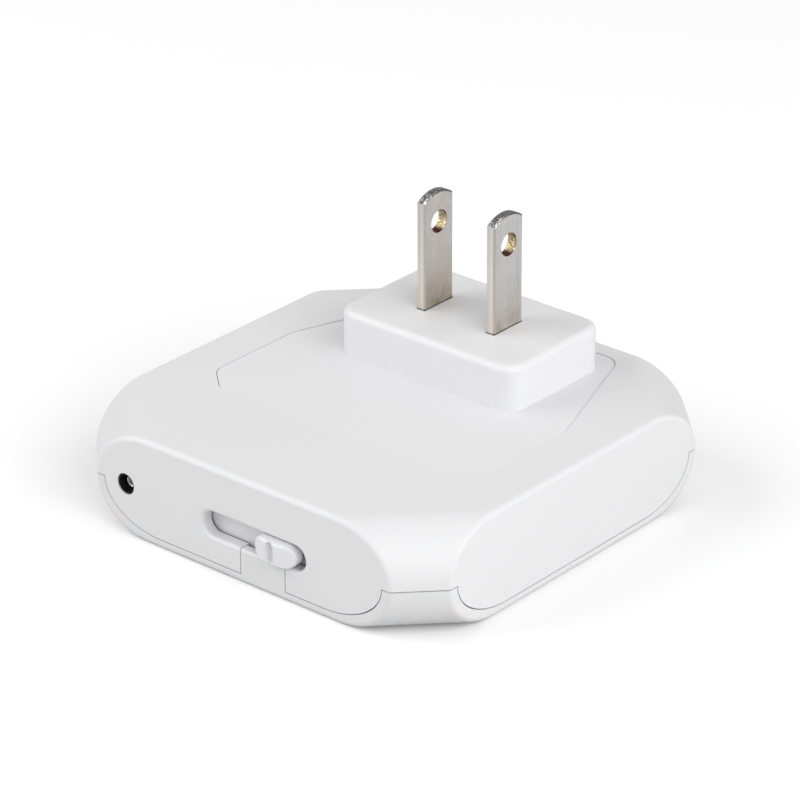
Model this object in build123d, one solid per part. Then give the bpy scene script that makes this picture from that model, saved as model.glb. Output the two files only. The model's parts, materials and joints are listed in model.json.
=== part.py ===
from build123d import *
import math
import os

os.makedirs("parts", exist_ok=True)

# A square plug in night light, lying on its front cover with the plug blades up.
# Origin: centre of the front cover's face. +Z: out of the back, along the blades.
# -Y: the side with the dimmer slider. Millimetres.

# ---- body shell
side = 65.0                # over the flat sides
thickness = 16.0           # front face to back face
facet_length = 53.6        # a flat side's length at mid-height
facet_end_run = 10.0       # how far a flat side's rounded end runs in from its tip
edge_round = 0.8           # between a flat side and its neighbours
wall = 2.0                 # side walls
back_wall = 2.4
front_wall = 1.8
seam_inset = 1.5           # the seam's distance inside a flat side's outline
seam_end_run = 10.2        # how far the seam's rounded end runs in from its tip
seam_gap = 0.16

# ---- step joint and snap hooks between the two shells
lip_height = 1.3
lip_clearance = 0.12
hook_width = 5.0
hook_thickness = 1.2
hook_clearance = 0.15
hook_barb = 0.5
hook_catch_height = 5.2
hook_tip_height = 6.9
hook_offset = 13.0

# ---- slider slot, light sensor hole
slot_length = 18.7
slot_height = 3.8
slot_centre_x = 2.5
slot_centre_z = 7.2
slot_edge_round = 0.5
tab_left = 0.2
tab_right = 8.15
tab_thickness = 1.25
sensor_to_tip = 5.5        # the sensor's axis to its flat side's tip
sensor_z = 8.0
sensor_hole_d = 3.2

# ---- slider
travel_left = 9.6          # from where the slider rests
travel_right = 1.1
knob_clearance = 0.15
knob_end_gap = 0.3
knob_height_out = 1.3      # at the crown of its arched face
knob_crown = 1.05          # rise of the arch over the knob's length
knob_depth_in = 1.1        # the pad's back, from the side's face
stem_inset = 0.9           # the stem behind the pad is this much smaller all round
knob_edge_round = 0.4
groove_width = 1.5
groove_depth = 0.8
groove_end_gap = 0.75
groove_offset = -0.25
shutter_thickness = 1.0
shutter_clearance = 0.15
shutter_overlap = 0.7
shutter_rise = 1.1
prong_thickness = 1.1
prong_height = 1.9
prong_clearance = 0.05
prong_gap = 0.4
rail_clearance = 0.3
rail_width = 0.8
rail_lip = 0.9
rail_end = 21.5
rail_start = 11.2

# ---- plug base: a plate in a recess of the back, with the hollow plug block
# The plate's outline is given from the block's centre.
block_to_side = 16.3       # the block's centre to the side opposite the slider
plate_half_width = 25.2
plate_front = -30.2
plate_back = 13.1
plate_front_half = 20.5
plate_corner = -26.0
plate_taper = -9.7
plate_back_half = 16.9
plate_corner_round = 3.2
plate_thickness = 1.1
plate_step = 0.1           # the plate lies this far below the back face
plate_gap = 0.1
block_length = 32.4
block_width = 20.8
block_height = 6.8
block_corner_round = 3.0
block_edge_round = 1.0
block_wall = 1.8
block_top_wall = 2.0
aperture_length = 17.6
aperture_width = 15.6
aperture_round = 1.5

# ---- blades
blade_pitch = 12.7
blade_width = 6.35
blade_thickness = 1.5
blade_length = 17.5        # tip to plug face
blade_tip_rise = 1.1
blade_bevel = 0.25
blade_hole_d = 3.4
blade_hole_height = 12.9
shoulder_width = 9.0
shoulder_height = 1.4
tail_width = 4.0
fit_clearance = 0.05
retainer_length = 16.2
retainer_width = 14.6
retainer_thickness = 2.0
retainer_round = 1.0
retainer_screw_offset = 5.6

# ---- circuit board
board_top = 7.4
board_thickness = 1.2
board_edge_gap = 0.55
board_front_gap = 2.2      # clear of the shutter's rails
board_corner_reach = 38.2
post_d = 5.0
post_to_side = 11.0
post_to_slider_side = 13.5
lead_stub = 0.8
lead_hole_clearance = 0.1
solder_rise = 0.6
solder_foot = 1.2          # a solder cone's reach round a blade tail, at the board
solder_tip = 0.6

# ---- screws: shank diameter, head diameter, head height, length under the head
board_screw = (2.2, 4.2, 1.4, 6.0)
base_screw = (2.2, 4.0, 1.4, 6.0)
retainer_screw = (2.0, 3.6, 1.2, 4.5)
pilot_clearance = 0.05
pilot_end_wall = 0.6       # left between a board screw's hole and the back wall
clearance_hole = 0.3
base_screw_x = 11.3
base_screw_offset = 5.8
base_boss_d = 4.6
retainer_boss_d = 4.2

# ---- dimmer: a slide potentiometer worked by the slider
dimmer_depth = 5.0
dimmer_height = 4.2
dimmer_front_gap = 3.3     # from the side wall's inner face
dimmer_sheet = 0.3
dimmer_base_thickness = 1.0
carriage_length = 5.0
carriage_clearance = 0.25
lever_width = 2.6
lever_thickness = 1.2
lever_end_gap = 0.3
terminal_d = 0.6
terminal_run = 1.6
terminal_end_gap = 2.0

# ---- light sensor and its sleeve
sensor_d = 3.0
sensor_neck_length = 0.6
sensor_dome_rise = 0.7
sensor_neck_gap = 0.05
sensor_leg_d = 0.5
sensor_leg_pitch = 1.27
sensor_leg_run = 2.2
sensor_leg_stagger = 0.6
sleeve_front_bore = 2.6
sleeve_front_part = 2.0
sleeve_wall = 0.7
sleeve_flange_d = 5.2
sleeve_flange = 0.9
sleeve_length = 4.4
sleeve_front_step = 0.2
sleeve_clearance = 0.05

# ---- derived places
half = side / 2
mid = thickness / 2
inner_half = half - wall
block_y = half - block_to_side
ceiling = thickness - back_wall
corner_reach = (half + facet_length / 2) / math.sqrt(2)
corner_run = facet_end_run / math.sqrt(2)
plate_top = thickness - plate_step
recess_floor = plate_top - plate_thickness
plug_face = thickness + block_height
block_ceiling = plug_face - block_top_wall
shoulder_bottom = block_ceiling - shoulder_height
retainer_bottom = shoulder_bottom - retainer_thickness
board_bottom = board_top - board_thickness
sensor_x = sensor_to_tip - facet_length / 2
slot_right = slot_centre_x + slot_length / 2
slot_left = slot_centre_x - slot_length / 2
travel = travel_left + travel_right
knob_length = slot_length - travel - 2 * knob_end_gap
knob_x = slot_right - knob_end_gap - travel_right - knob_length / 2
knob_arch = ((knob_length / 2) ** 2 + knob_crown ** 2) / (2 * knob_crown)
shutter_front = -inner_half + shutter_clearance
shutter_back = shutter_front + shutter_thickness
shutter_low = slot_centre_z - slot_height / 2 - shutter_overlap
shutter_high = slot_centre_z + slot_height / 2 + shutter_rise
shutter_left = slot_left - shutter_overlap - travel_right
shutter_right = slot_right + shutter_overlap + travel_left
lever_z = shutter_high - prong_height / 2
dimmer_front = -inner_half + dimmer_front_gap
dimmer_length = travel + carriage_length + 4 * carriage_clearance + 2 * dimmer_sheet
dimmer_x = knob_x + (travel_right - travel_left) / 2
post_x = half - post_to_side
post_places = [(x, y) for x in (-post_x, post_x) for y in (post_to_slider_side - half, post_x)]
base_screw_places = [
    (x, block_y + y) for x in (-base_screw_x, base_screw_x) for y in (-base_screw_offset, base_screw_offset)
]
retainer_screw_places = [(0, block_y - retainer_screw_offset), (0, block_y + retainer_screw_offset)]
blade_places = {"blade_left": -blade_pitch / 2, "blade_right": blade_pitch / 2}

# ---- components on the board: centre x, y
film_size = (18.0, 11.0, 5.0)
film_place = (-13.0, -6.0)
film_edge_round = 0.6
film_lead_pitch = 15.0
film_lead_d = 0.6
can_d = 5.0
can_length = 11.0
can_place = (14.5, -3.0)
can_edge = 0.4
can_groove_depth = 0.3
can_groove_start = 1.0
can_lead_pitch = 2.0
can_lead_d = 0.5
fuse_d = 3.2
fuse_length = 9.0
fuse_place = (-18.0, 9.5)
bleed_d = 2.3
bleed_length = 6.4
bleed_place = (14.0, -9.0)
axial_lead_d = 0.6
axial_lead_run = 1.6
component_gap = 0.1
bridge_size = (4.7, 3.8, 2.4)
bridge_place = (16.5, 8.0)
driver_size = (4.9, 3.9, 1.5)
driver_place = (3.0, -12.5)
transistor_size = (2.9, 1.3, 1.0)
transistor_place = (-8.5, -15.5)
leg_thickness = 0.2
leg_reach = 1.1
leg_width = 0.4
driver_leg_pitch = 1.27
bridge_leg_width = 0.6
bridge_leg_pitch = 2.5
transistor_leg_pitch = 1.9
chip_size = (2.0, 1.25, 0.5)
chip_pitch = 3.2
chip_row_x = 2.8           # centre of each row of four
chip_row_y = (-17.5, -7.5)
chip_steps = (-1.5, -0.5, 0.5, 1.5)
chip_places = [(chip_row_x + step * chip_pitch, y) for step in chip_steps for y in chip_row_y]
led_size = (3.5, 2.8, 0.7)
led_count = 8
led_to_side = 14.5
led_ring = half - led_to_side
led_window_d = 2.2
led_window_depth = 0.2


def block_between(x, y, z):
    """A box given by its low and high coordinates on each axis."""
    size = [high - low for low, high in (x, y, z)]
    centre = [(low + high) / 2 for low, high in (x, y, z)]
    return Pos(*centre) * Box(*size)


def upright(outline, low, high):
    """A plan outline extruded from one height to another."""
    return extrude(Pos(0, 0, low) * outline, high - low)


def rod(place, d, low, high):
    return Pos(place[0], place[1], (low + high) / 2) * Cylinder(d / 2, high - low)


def rounded_ends(reach, run, height):
    """A rectangle whose two ends are half ellipses."""
    straight = reach - run
    outline = Rectangle(2 * straight, height)
    for x in (-straight, straight):
        outline += Pos(x, 0) * Ellipse(run, height / 2)
    return outline


def diagonal_slab(turn, inset, low, high):
    """The body seen along one diagonal, drawn out along it."""
    outline = rounded_ends(corner_reach - inset, corner_run - inset, high - low)
    angle = math.radians(turn)
    across = (math.cos(angle), math.sin(angle), 0)
    along = (math.sin(angle), -math.cos(angle), 0)
    plane = Plane((0, 0, (low + high) / 2), x_dir=across, z_dir=along)
    return extrude(plane * outline, side, both=True)


def body(inset, low, high):
    width = 2 * (half - inset)
    square = Pos(0, 0, (low + high) / 2) * Box(width, width, high - low)
    return square & diagonal_slab(45, inset, low, high) & diagonal_slab(-45, inset, low, high)


def side_plane(turn):
    """Plane of a flat side: local x along the side, local y up, z outwards."""
    angle = math.radians(turn)
    outwards = (math.cos(angle), math.sin(angle), 0)
    along = (-math.sin(angle), math.cos(angle), 0)
    return Plane((half * outwards[0], half * outwards[1], mid), x_dir=along, z_dir=outwards)


def skirt(turn, grow, depth):
    """The plate of the rear housing that fills a flat side inside the seam."""
    inset = seam_inset - grow
    outline = rounded_ends(facet_length / 2 - inset, seam_end_run + grow, thickness - 2 * inset)
    return extrude(side_plane(turn) * outline, -depth) + extrude(side_plane(turn) * outline, edge_round)


def slider_slot():
    """A cutter for the slot through the slider's side."""
    plane = Plane((slot_centre_x, -half, slot_centre_z), x_dir=(1, 0, 0), z_dir=(0, -1, 0))
    return extrude(plane * SlotOverall(slot_length, slot_height), wall + 1, both=True)


def rounded_outer():
    outer = body(0, 0, thickness)
    rims = []
    for axis in (Axis.X, Axis.Y):
        faces = outer.faces().filter_by(axis).sort_by(axis)
        rims += faces[0].edges() + faces[-1].edges()
    outer = fillet(rims, edge_round)
    outer -= slider_slot()
    front = outer.faces().filter_by(GeomType.PLANE).sort_by(Axis.Y)[0]
    return fillet(front.inner_wires()[0].edges(), slot_edge_round)


def sensor_axis(y):
    return Plane((sensor_x, y, sensor_z), x_dir=(1, 0, 0), z_dir=(0, -1, 0))


def shell():
    cavity = body(wall, front_wall, ceiling)
    hole = extrude(sensor_axis(-half) * Circle(sensor_hole_d / 2), wall + 1, both=True)
    return rounded_outer() - cavity - hole


def tab_block(grow, depth):
    return block_between(
        (tab_left - grow, tab_right + grow), (-half - 1, -half + depth), (-1, slot_centre_z)
    )


def lips(outer_inset, low, high, clear):
    """Rings of the corner walls' inner part, at the four corners only."""
    ring = body(outer_inset, 0, thickness) - body(wall, front_wall, ceiling)
    start = facet_length / 2 - seam_inset + clear
    corners = None
    for sx in (-1, 1):
        for sy in (-1, 1):
            corner = block_between(
                sorted((sx * start, sx * half)), sorted((sy * start, sy * half)), (low, high)
            )
            corners = corner if corners is None else corners + corner
    return ring & corners


def at_hooks(shape):
    """Copies of a shape made at the +X side, at the hooks of the three plain sides."""
    return [
        Rot(0, 0, turn) * Pos(0, y, 0) * shape for turn in (0, 90, 180) for y in (-hook_offset, hook_offset)
    ]


def hook():
    outside = inner_half - hook_clearance
    inside = outside - hook_thickness
    catch = hook_catch_height + hook_clearance
    points = [
        (inside, front_wall), (outside, front_wall), (outside, catch),
        (outside + hook_barb, catch), (outside, hook_tip_height), (inside, hook_tip_height),
    ]
    profile = Plane.XZ * make_face(Polyline(*points, close=True))
    return extrude(profile, hook_width / 2, both=True)


def hook_pocket():
    depth = hook_barb
    width = hook_width / 2 + hook_clearance
    return block_between(
        (inner_half - 1, inner_half + depth), (-width, width), (hook_catch_height, hook_tip_height)
    )


def plate_outline(shrink):
    points = [
        (-plate_front_half, plate_front), (plate_front_half, plate_front),
        (plate_half_width, plate_corner), (plate_half_width, plate_taper),
        (plate_back_half, plate_back), (-plate_back_half, plate_back),
        (-plate_half_width, plate_taper), (-plate_half_width, plate_corner),
    ]
    outline = make_face(Polyline(*points, close=True))
    outline = Pos(0, block_y) * fillet(outline.vertices(), plate_corner_round)
    return offset(outline, -shrink) if shrink else outline


def slide_rails():
    """L rails over the shutter and ledges under it, clear of the prongs and the tab."""
    wall_face = -inner_half
    lip_front = shutter_back + shutter_clearance
    lip_back = lip_front + rail_width
    over = shutter_high + rail_clearance
    under = shutter_low - rail_clearance
    rails = []
    for low, high in ((-rail_end + 2 * slot_centre_x, -rail_start + 2 * slot_centre_x), (rail_start, rail_end)):
        rails.append(block_between((low, high), (wall_face, lip_back), (over, over + rail_width)))
        rails.append(block_between((low, high), (lip_front, lip_back), (over - rail_lip, over)))
        ledge = (max(low, tab_right + 1), high) if low > 0 else (low, min(high, tab_left - 1))
        rails.append(block_between(ledge, (wall_face, shutter_back), (under - rail_width, under)))
    return rails


def rear_housing():
    upper = block_between((-side, side), (-side, side), (mid, side))
    case = shell()
    skirts = [case & skirt(turn, 0, wall) for turn in (0, 90, 180, 270)]
    housing = (case & upper) + skirts
    housing -= tab_block(seam_gap, wall + 1)
    housing += [rod(place, post_d, board_top, ceiling) for place in post_places]
    housing += slide_rails()
    housing -= at_hooks(hook_pocket())
    housing -= lips(wall / 2 - lip_clearance, mid - 1, mid + lip_height + lip_clearance, 0)
    housing -= upright(plate_outline(0), recess_floor, side)
    housing -= upright(
        Pos(0, block_y) * RectangleRounded(aperture_length, aperture_width, aperture_round), 0, plate_top
    )
    pilot = board_screw[0] + 2 * pilot_clearance
    housing -= [rod(place, pilot, board_top, ceiling - pilot_end_wall) for place in post_places]
    passing = base_screw[0] + clearance_hole
    housing -= [rod(place, passing, 0, plate_top) for place in base_screw_places]
    return housing


def front_diffuser():
    lower = block_between((-side, side), (-side, side), (-1, mid - seam_gap))
    case = shell()
    cover = case & lower
    for turn in (0, 90, 180, 270):
        cover -= skirt(turn, seam_gap, wall + seam_gap)
    cover += case & tab_block(0, tab_thickness)
    cover += lips(wall / 2, mid - 1, mid + lip_height, lip_clearance)
    return cover + at_hooks(hook())


def rounded_box(length, width, low, high, corner, top_round):
    solid = upright(RectangleRounded(length, width, corner), low, high)
    return fillet(solid.faces().sort_by(Axis.Z)[-1].edges(), top_round)


def plug_base():
    base = upright(plate_outline(plate_gap), recess_floor, plate_top)
    block = rounded_box(block_length, block_width, recess_floor, plug_face, block_corner_round, block_edge_round)
    base += Pos(0, block_y) * block
    hollow = RectangleRounded(
        block_length - 2 * block_wall, block_width - 2 * block_wall, block_corner_round - block_wall / 2
    )
    base -= upright(Pos(0, block_y) * hollow, 0, block_ceiling)
    base += [rod(place, base_boss_d, recess_floor, block_ceiling) for place in base_screw_places]
    base += [rod(place, retainer_boss_d, shoulder_bottom, block_ceiling) for place in retainer_screw_places]
    pilot = base_screw[0] + 2 * pilot_clearance
    base -= [rod(place, pilot, 0, recess_floor + base_screw[3]) for place in base_screw_places]
    pilot = retainer_screw[0] + 2 * pilot_clearance
    tip = retainer_bottom + retainer_screw[3] + pilot_clearance
    base -= [rod(place, pilot, 0, tip) for place in retainer_screw_places]
    opening = Rectangle(blade_thickness + 2 * fit_clearance, blade_width + 2 * fit_clearance)
    base -= [upright(Pos(x, block_y) * opening, 0, side) for x in blade_places.values()]
    return base


def is_across(edge):
    """True for an edge that runs through the thickness of a blade."""
    return edge.bounding_box().size.X > blade_thickness / 2


def blade(x):
    """A flat blade: arched tip, detent hole, shoulders and a tail for the board."""
    tip = plug_face + blade_length
    corner = tip - blade_tip_rise
    w, s, t = blade_width / 2, shoulder_width / 2, tail_width / 2
    foot = board_bottom - lead_stub
    plane = Plane((x, block_y, 0), x_dir=(0, 1, 0), z_dir=(1, 0, 0))
    right = Polyline((-t, foot), (t, foot), (t, shoulder_bottom), (s, shoulder_bottom),
                     (s, block_ceiling), (w, block_ceiling), (w, corner))
    arch = ThreePointArc((w, corner), (0, tip), (-w, corner))
    left = Polyline((-w, corner), (-w, block_ceiling), (-s, block_ceiling), (-s, shoulder_bottom),
                    (-t, shoulder_bottom), (-t, foot))
    strip = extrude(plane * make_face(right + arch + left), blade_thickness / 2, both=True)
    rims = [e for e in strip.edges() if e.center().Z > plug_face and not is_across(e)]
    strip = chamfer(rims, blade_bevel)
    hole = Plane((x, block_y, plug_face + blade_hole_height), z_dir=(1, 0, 0)) * Circle(blade_hole_d / 2)
    return strip - extrude(hole, side, both=True)


def blade_retainer():
    plate = upright(Pos(0, block_y) * RectangleRounded(retainer_length, retainer_width, retainer_round),
                    retainer_bottom, shoulder_bottom)
    opening = Rectangle(blade_thickness + 2 * fit_clearance, tail_width + 2 * fit_clearance)
    plate -= [upright(Pos(x, block_y) * opening, 0, side) for x in blade_places.values()]
    passing = retainer_screw[0] + clearance_hole
    return plate - [rod(place, passing, 0, side) for place in retainer_screw_places]


def screw(place, size, seat):
    """A pan head screw pointing up, with its head under the seat."""
    shank_d, head_d, head_height, length = size
    r, h = shank_d / 2, head_d / 2
    profile = Polyline((0, -head_height), (h * 0.7, -head_height), (h, -head_height * 0.45), (h, 0),
                       (r, 0), (r, length - r), (0, length - r / 4), close=True)
    solid = revolve(Plane.XZ * make_face(profile), Axis.Z)
    slot = Pos(0, 0, -head_height) * Box(h, head_height / 3, head_height)
    solid -= slot + Rot(0, 0, 90) * slot
    return Pos(place[0], place[1], seat) * solid


def board_outline():
    back = inner_half - hook_clearance - hook_thickness - board_edge_gap
    front = -inner_half + board_front_gap
    outline = Pos(0, (front + back) / 2) * Rectangle(2 * back, back - front)
    return outline & Rot(0, 0, 45) * Rectangle(2 * board_corner_reach, 2 * board_corner_reach)


def bent_lead(start, run, d):
    """A round lead: straight out from a component along run, then down through the board."""
    x, y, z = start
    dx, dy = run
    foot = board_bottom - lead_stub
    path = FilletPolyline((x, y, z), (x + dx, y + dy, z), (x + dx, y + dy, foot), radius=2 * d)
    plane = Plane(origin=(x, y, z), z_dir=(dx, dy, 0))
    return sweep(plane * Circle(d / 2), path)


def lead_plan():
    """Every round lead: start point, run before it turns down, diameter."""
    plan = []
    x, y = film_place
    z = board_top + film_size[2] / 2 + component_gap
    for sx in (-1, 1):
        start = (x + sx * film_lead_pitch / 2, y + film_size[1] / 2, z)
        plan.append((start, (0, axial_lead_run), film_lead_d))
    x, y = can_place
    z = board_top + can_d / 2 + component_gap
    for sy in (-1, 1):
        start = (x - can_length / 2, y + sy * can_lead_pitch / 2, z)
        plan.append((start, (-axial_lead_run, 0), can_lead_d))
    x, y = fuse_place
    z = board_top + fuse_d / 2 + component_gap
    for sy in (-1, 1):
        plan.append(((x, y + sy * fuse_length / 2, z), (0, sy * axial_lead_run), axial_lead_d))
    x, y = bleed_place
    z = board_top + bleed_d / 2 + component_gap
    for sx in (-1, 1):
        plan.append(((x + sx * bleed_length / 2, y, z), (sx * axial_lead_run, 0), axial_lead_d))
    return plan


def sensor_leg_plan():
    y = sleeve_back_y() + sleeve_clearance
    plan = []
    for sx in (-1, 1):
        start = (sensor_x + sx * sensor_leg_pitch, y, sensor_z)
        plan.append((start, (0, sensor_leg_run + sensor_leg_stagger * sx), sensor_leg_d))
    return plan


def terminal_places():
    y = dimmer_front + dimmer_depth + terminal_run
    end = dimmer_length / 2 - terminal_end_gap
    return [(dimmer_x + dx, y) for dx in (-end, 0, end)]


def main_board():
    board = upright(board_outline(), board_bottom, board_top)
    board -= [rod(place, board_screw[0] + clearance_hole, 0, side) for place in post_places]
    opening = Rectangle(blade_thickness + 2 * fit_clearance, tail_width + 2 * fit_clearance)
    board -= [upright(Pos(x, block_y) * opening, 0, side) for x in blade_places.values()]
    for start, run, d in lead_plan() + sensor_leg_plan():
        board -= rod((start[0] + run[0], start[1] + run[1]), d + 2 * lead_hole_clearance, 0, side)
    board -= [rod(place, terminal_d + 2 * lead_hole_clearance, 0, side) for place in terminal_places()]
    return board - sensor_notch()


def sensor_notch():
    """The board's front edge steps back around the light sensor."""
    reach = sleeve_flange_d / 2 + board_edge_gap
    return block_between(
        (sensor_x - reach, sensor_x + reach), (-half, sleeve_back_y() + board_edge_gap), (0, side)
    )


def blade_solder():
    """Solder cones around the blade tails on the board's front side."""
    joints = []
    tail = Rectangle(blade_thickness, tail_width)
    foot, tip = [
        Ellipse(blade_thickness / 2 + reach, tail_width / 2 + reach) for reach in (solder_foot, solder_tip)
    ]
    for x in blade_places.values():
        cone = loft([Pos(x, block_y, board_bottom) * foot, Pos(x, block_y, board_bottom - solder_rise) * tip])
        joints.append(cone - upright(Pos(x, block_y) * tail, 0, side))
    return joints


def film_capacitor():
    x, y = film_place
    box = Box(*film_size)
    box = fillet(box.edges(), film_edge_round)
    return Pos(x, y, board_top + component_gap + film_size[2] / 2) * box


def smoothing_capacitor():
    """A lying can with a rolled groove near its lead end."""
    r, length, edge = can_d / 2, can_length, can_edge
    depth, start = can_groove_depth, can_groove_start
    profile = make_face(Polyline(
        (0, 0), (r - edge, 0), (r, edge), (r, start), (r - depth, start + depth), (r, start + 2 * depth),
        (r, length - edge), (r - edge, length), (0, length), close=True,
    ))
    can = revolve(Plane.XZ * profile, Axis.Z)
    x, y = can_place
    return Pos(x - length / 2, y, board_top + component_gap + r) * Rot(0, 90, 0) * can


def axial_body(d, length):
    """A resistor body: a cylinder with rounded, slightly thicker ends."""
    r = d / 2
    end = length * 0.2
    profile = make_face(Polyline(
        (0, -length / 2), (r * 0.7, -length / 2), (r, -length / 2 + r * 0.3), (r, -length / 2 + end),
        (r * 0.88, -length / 2 + end * 1.4), (r * 0.88, length / 2 - end * 1.4),
        (r, length / 2 - end), (r, length / 2 - r * 0.3), (r * 0.7, length / 2), (0, length / 2), close=True,
    ))
    return revolve(Plane.XZ * profile, Axis.Z)


def fusible_resistor():
    x, y = fuse_place
    return Pos(x, y, board_top + component_gap + fuse_d / 2) * Rot(90, 0, 0) * axial_body(fuse_d, fuse_length)


def bleed_resistor():
    x, y = bleed_place
    return Pos(x, y, board_top + component_gap + bleed_d / 2) * Rot(0, 90, 0) * axial_body(bleed_d, bleed_length)


def gull_leg(height, width):
    """A formed leg that leaves a package along +X and stands on the board."""
    t = leg_thickness
    points = [(0, height), (leg_reach * 0.45, height), (leg_reach * 0.65, t), (leg_reach, t), (leg_reach, 0),
              (leg_reach * 0.5, 0), (leg_reach * 0.3, height - t), (0, height - t)]
    return extrude(Plane.XZ * make_face(Polyline(*points, close=True)), width / 2, both=True)


def package(size, place, gap):
    """A moulded package with its top edges bevelled, the gap above the board."""
    x, y = place
    solid = Box(*size)
    solid = chamfer(solid.faces().sort_by(Axis.Z)[-1].edges(), min(size) * 0.12)
    return Pos(x, y, board_top + gap + size[2] / 2) * solid


def legs(size, place, right, left, width):
    """Legs on the two Y faces of a package, at the given x offsets."""
    x, y = place
    leg = gull_leg(size[2] / 2, width)
    out = [Pos(x + dx, y + size[1] / 2, board_top) * Rot(0, 0, 90) * leg for dx in right]
    out += [Pos(x + dx, y - size[1] / 2, board_top) * Rot(0, 0, -90) * leg for dx in left]
    return out


def package_legs():
    row = [step * driver_leg_pitch for step in (-1.5, -0.5, 0.5, 1.5)]
    wide = (-bridge_leg_pitch / 2, bridge_leg_pitch / 2)
    narrow = (-transistor_leg_pitch / 2, transistor_leg_pitch / 2)
    return (
        legs(driver_size, driver_place, row, row, leg_width)
        + legs(bridge_size, bridge_place, wide, wide, bridge_leg_width)
        + legs(transistor_size, transistor_place, (0,), narrow, leg_width)
    )


def chip_resistors():
    return [package(chip_size, place, 0) for place in chip_places]


def at_leds(shape):
    step = 360 / led_count
    return [
        Rot(0, 0, step * i) * Pos(led_ring, 0, board_bottom) * shape for i in range(led_count)
    ]


def led_body():
    length, width, height = led_size
    return Pos(0, 0, -height / 2) * Box(width, length, height) - led_window()


def led_window():
    return Pos(0, 0, -led_size[2] + led_window_depth / 2) * Cylinder(led_window_d / 2, led_window_depth)


def dimmer_box(inset, y_low, y_high):
    length = dimmer_length / 2 - inset
    return block_between(
        (dimmer_x - length, dimmer_x + length), (y_low, y_high),
        (board_top + inset, board_top + dimmer_height - inset),
    )


def dimmer_window():
    reach = travel / 2 + lever_width / 2 + carriage_clearance
    rise = lever_thickness / 2 + carriage_clearance
    return block_between(
        (dimmer_x - reach, dimmer_x + reach), (dimmer_front - 1, dimmer_front + 1),
        (lever_z - rise, lever_z + rise),
    )


def dimmer_shell():
    """Folded sheet round the carriage, open at the back, with a window for the lever."""
    outer = dimmer_box(0, dimmer_front, dimmer_front + dimmer_depth - dimmer_base_thickness)
    inner = dimmer_box(dimmer_sheet, dimmer_front + dimmer_sheet, dimmer_front + dimmer_depth)
    return outer - inner - dimmer_window()


def dimmer_base():
    """Plate that closes the shell; it carries the dimmer's track and terminals."""
    back = dimmer_front + dimmer_depth
    return dimmer_box(0, back - dimmer_base_thickness, back)


def dimmer_terminals():
    back = dimmer_front + dimmer_depth
    z = board_top + dimmer_height / 2
    return [bent_lead((x, back, z), (0, terminal_run), terminal_d) for x, y in terminal_places()]


def dimmer_carriage():
    inset = dimmer_sheet + carriage_clearance
    front = dimmer_front + inset
    back = dimmer_front + dimmer_depth - dimmer_base_thickness - carriage_clearance
    length = carriage_length / 2
    low, high = board_top + inset, board_top + dimmer_height - inset
    carriage = block_between((knob_x - length, knob_x + length), (front, back), (low, high))
    lever = block_between(
        (knob_x - lever_width / 2, knob_x + lever_width / 2), (shutter_back + lever_end_gap, front),
        (lever_z - lever_thickness / 2, lever_z + lever_thickness / 2),
    )
    return carriage + lever


def slider_knob():
    """Arched pad in the slot, a stem to the shutter and two prongs that hold the dimmer's lever."""
    height = slot_height - 2 * knob_clearance
    plane = Plane((knob_x, -half, slot_centre_z), x_dir=(1, 0, 0), z_dir=(0, -1, 0))
    outline = plane * SlotOverall(knob_length, height)
    knob = extrude(outline, knob_height_out) + extrude(outline, -knob_depth_in)
    knob &= Pos(knob_x, knob_arch - half - knob_height_out, slot_centre_z) * Cylinder(knob_arch, side)
    knob = fillet(knob.faces().sort_by(Axis.Y)[0].edges(), knob_edge_round)
    knob -= finger_groove()
    stem = plane * SlotOverall(knob_length - 2 * stem_inset, height - 2 * stem_inset)
    knob += extrude(stem, -(half + shutter_back))
    shutter = block_between((shutter_left, shutter_right), (shutter_front, shutter_back),
                            (shutter_low, shutter_high))
    slider = knob + shutter
    inner = lever_width / 2 + prong_clearance
    for sx in (-1, 1):
        x = sorted((knob_x + sx * inner, knob_x + sx * (inner + prong_thickness)))
        slider += block_between(x, (shutter_front, dimmer_front - prong_gap),
                                (shutter_high - prong_height, shutter_high))
    return slider


def finger_groove():
    """A round-bottomed groove with rounded ends, across the knob's arched face."""
    radius = (groove_width ** 2 / 4 + groove_depth ** 2) / (2 * groove_depth)
    drop = knob_arch - math.sqrt(knob_arch ** 2 - groove_offset ** 2)
    y = -half - knob_height_out + drop - radius + groove_depth
    rise = slot_height / 2 - knob_clearance - groove_end_gap
    x = knob_x + groove_offset
    groove = Pos(x, y, slot_centre_z) * Cylinder(radius, 2 * rise)
    for sz in (-1, 1):
        groove += Pos(x, y, slot_centre_z + sz * rise) * Sphere(radius)
    return groove


def sleeve_back_y():
    return -half + sleeve_front_step + sleeve_length


def sensor_sleeve():
    """Black sleeve: a tube in the hole, a flange behind the wall, a wider bore for the sensor."""
    r_out = sensor_hole_d / 2 - sleeve_clearance
    r_back = sensor_d / 2 + sleeve_clearance
    r_tail = sensor_d / 2 + sleeve_wall
    flange = wall - sleeve_front_step + sleeve_clearance
    profile = make_face(Polyline(
        (sleeve_front_bore / 2, 0), (r_out, 0), (r_out, flange), (sleeve_flange_d / 2, flange),
        (sleeve_flange_d / 2, flange + sleeve_flange), (r_tail, flange + sleeve_flange),
        (r_tail, sleeve_length), (r_back, sleeve_length), (r_back, sleeve_front_part),
        (sleeve_front_bore / 2, sleeve_front_part), close=True,
    ))
    tube = revolve(Plane.XZ * profile, Axis.Z)
    return Pos(sensor_x, -half + sleeve_front_step, sensor_z) * Rot(-90, 0, 0) * tube


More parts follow.
